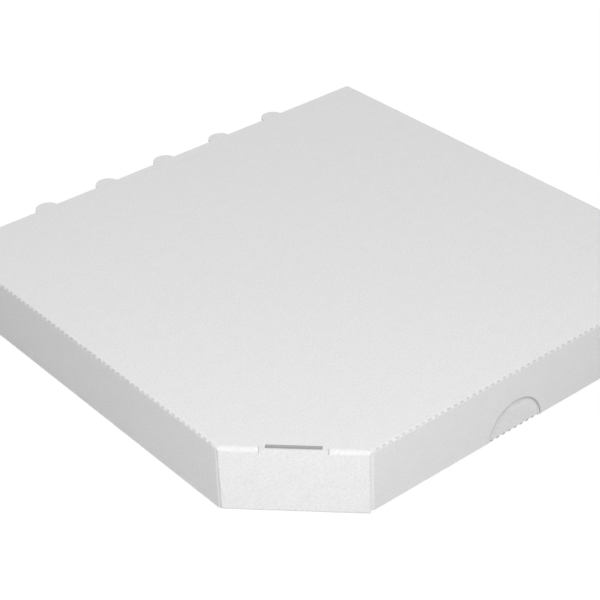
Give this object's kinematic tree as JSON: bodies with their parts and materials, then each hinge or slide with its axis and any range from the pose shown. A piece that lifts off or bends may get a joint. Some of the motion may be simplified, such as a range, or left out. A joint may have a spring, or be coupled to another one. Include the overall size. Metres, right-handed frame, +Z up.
{
  "type": "pizza box",
  "caption": "Closed square takeaway box with cut front corners: a folded tray with a rolled front wall, and a hinged lid with flaps, corner locks, a thumb notch and round tabs over vents.",
  "frame": {"origin": "middle of the closed box's footprint, on the surface that it stands on", "axes": "+Z up, +Y from the thumb notch to the hinge, +X to the right seen from the front"},
  "size_m": [0.33, 0.3372, 0.042],
  "materials": {
    "white_board": "matte white fine-flute board"
  },
  "bodies": {
    "tray": {"tray": "white_board"},
    "lid": {"lid": "white_board"}
  },
  "joints": [
    {"name": "lid_hinge", "type": "hinge", "parent": "tray", "child": "lid", "pos_m": [0, 0.165, 0.042], "axis": [-1, 0, 0], "range_deg": [0, 180]}
  ]
}
